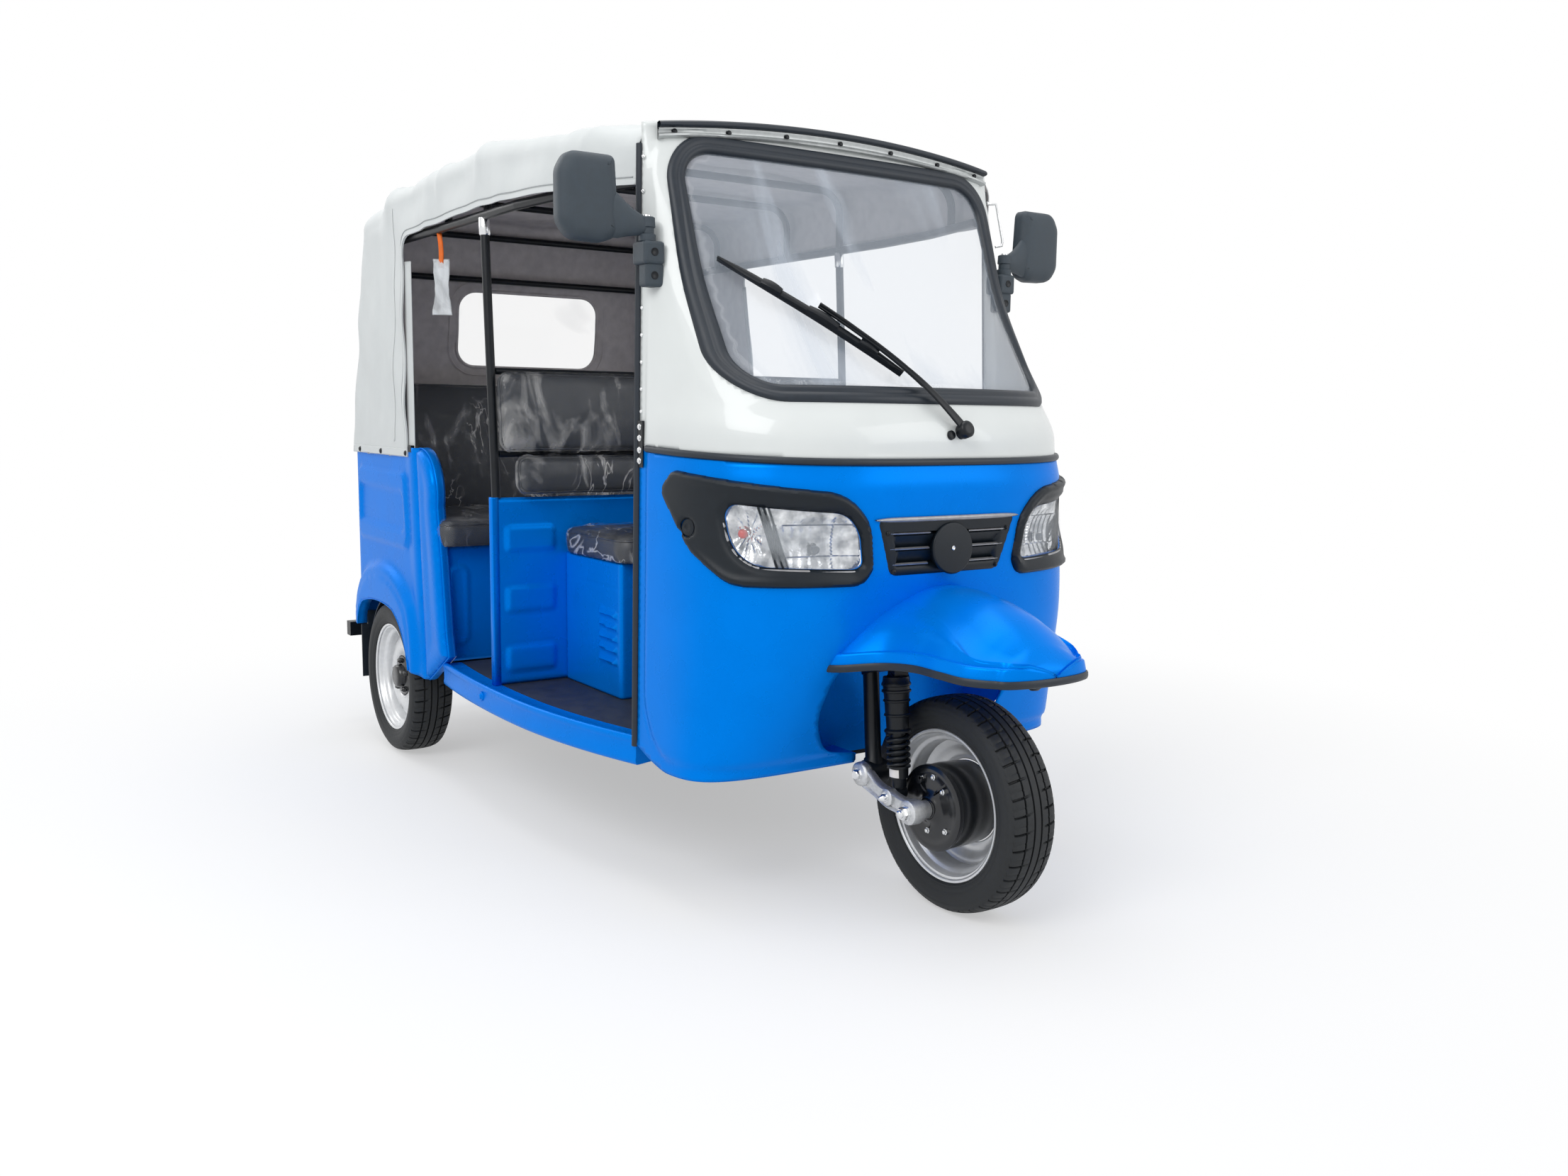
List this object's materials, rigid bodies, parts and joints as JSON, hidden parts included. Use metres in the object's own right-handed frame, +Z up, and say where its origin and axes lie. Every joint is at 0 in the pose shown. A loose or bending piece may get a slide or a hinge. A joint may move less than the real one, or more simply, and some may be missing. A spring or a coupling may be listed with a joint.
{
  "type": "three-wheeled auto rickshaw with a soft top",
  "caption": "Three-wheeled passenger auto rickshaw with an open-sided cab, a fabric canopy, a driver's seat and a rear bench.",
  "frame": {"origin": "on the ground, under the middle of the vehicle's length and width", "axes": "+X forward, +Y to the vehicle's left, +Z up"},
  "size_m": [2.776, 1.474, 1.8159],
  "materials": {
    "blue_paint": "gloss",
    "white_paint": "gloss",
    "black_paint": "satin",
    "black_trim": "satin",
    "rubber_trim": "matte",
    "tyre_rubber": "matte",
    "silver_steel": "satin",
    "cast_alloy": "cast",
    "screen_glass": "clear",
    "lamp_clear": "clear",
    "lamp_red": "gloss",
    "soft_top": "coated",
    "window_film": "clear",
    "seat_vinyl": "semi-gloss",
    "floor_rubber": "matte",
    "mirror_case": "satin",
    "channel_metal": "satin",
    "motor_block": "satin",
    "battery_block": "satin"
  },
  "bodies": {
    "chassis": {"backrest_frame": "black_paint", "battery_pack": "battery_block", "canopy": "soft_top", "chassis_frame": "black_paint", "cowl_lower": "blue_paint", "cowl_upper": "white_paint", "dashboard": "black_trim", "drive_motor": "motor_block", "driver_backrest": "seat_vinyl", "driver_cushion": "seat_vinyl", "driver_seat_box": "blue_paint", "floor_mat": "floor_rubber", "floor_pan": "black_paint", "front_fender": "blue_paint", "grille": "black_trim", "gutter_channel": "channel_metal", "headlight_surrounds": "black_trim", "headlights": "lamp_clear", "joint_plates": "black_paint", "leaf_springs": "black_paint", "lid_hinges": "black_paint", "mirror_brackets": "mirror_case", "mirrors": "mirror_case", "mudflaps": "rubber_trim", "partition": "blue_paint", "passenger_backrest": "seat_vinyl", "passenger_cushion": "seat_vinyl", "passenger_seat_base": "blue_paint", "pedals": "black_paint", "rear_axle": "black_paint", "rear_body": "blue_paint", "rear_bumper": "black_paint", "rear_window": "window_film", "roof_edge_trim": "rubber_trim", "roof_frame": "black_paint", "side_sills": "blue_paint", "tail_lamps": "lamp_red", "waist_moulding": "rubber_trim", "wheel_boxes": "black_paint", "wheel_well": "blue_paint", "windscreen": "screen_glass", "windscreen_gasket": "rubber_trim", "wiper": "black_paint"},
    "steering": {"fork": "black_paint", "front_link": "cast_alloy", "shock_absorber": "black_paint", "brake_plate": "black_paint", "handlebar": "black_paint"},
    "front_wheel": {"front_tyre": "tyre_rubber", "front_rim": "silver_steel", "front_hub": "black_paint"},
    "rear_wheel_right": {"rear_tyre_right": "tyre_rubber", "rear_rim_right": "silver_steel", "rear_hub_right": "black_paint"},
    "rear_wheel_left": {"rear_tyre_left": "tyre_rubber", "rear_rim_left": "silver_steel", "rear_hub_left": "black_paint"},
    "rear_lid": {"rear_lid": "blue_paint"}
  },
  "joints": [
    {"name": "steer", "type": "hinge", "parent": "chassis", "child": "steering", "pos_m": [1.172, 0, 0], "axis": [-0.342, 0, 0.9397], "range_deg": [-38, 38]},
    {"name": "front_wheel_spin", "type": "hinge", "parent": "steering", "child": "front_wheel", "pos_m": [1.12, 0, 0.242], "axis": [0, 1, 0], "continuous": true},
    {"name": "rear_wheel_right_spin", "type": "hinge", "parent": "chassis", "child": "rear_wheel_right", "pos_m": [-0.896, -0.58, 0.242], "axis": [0, 1, 0], "continuous": true},
    {"name": "rear_wheel_left_spin", "type": "hinge", "parent": "chassis", "child": "rear_wheel_left", "pos_m": [-0.896, 0.58, 0.242], "axis": [0, 1, 0], "continuous": true},
    {"name": "rear_lid_hinge", "type": "hinge", "parent": "chassis", "child": "rear_lid", "pos_m": [-1.287, 0, 0.894], "axis": [0, 1, 0], "range_deg": [0, 75]}
  ]
}
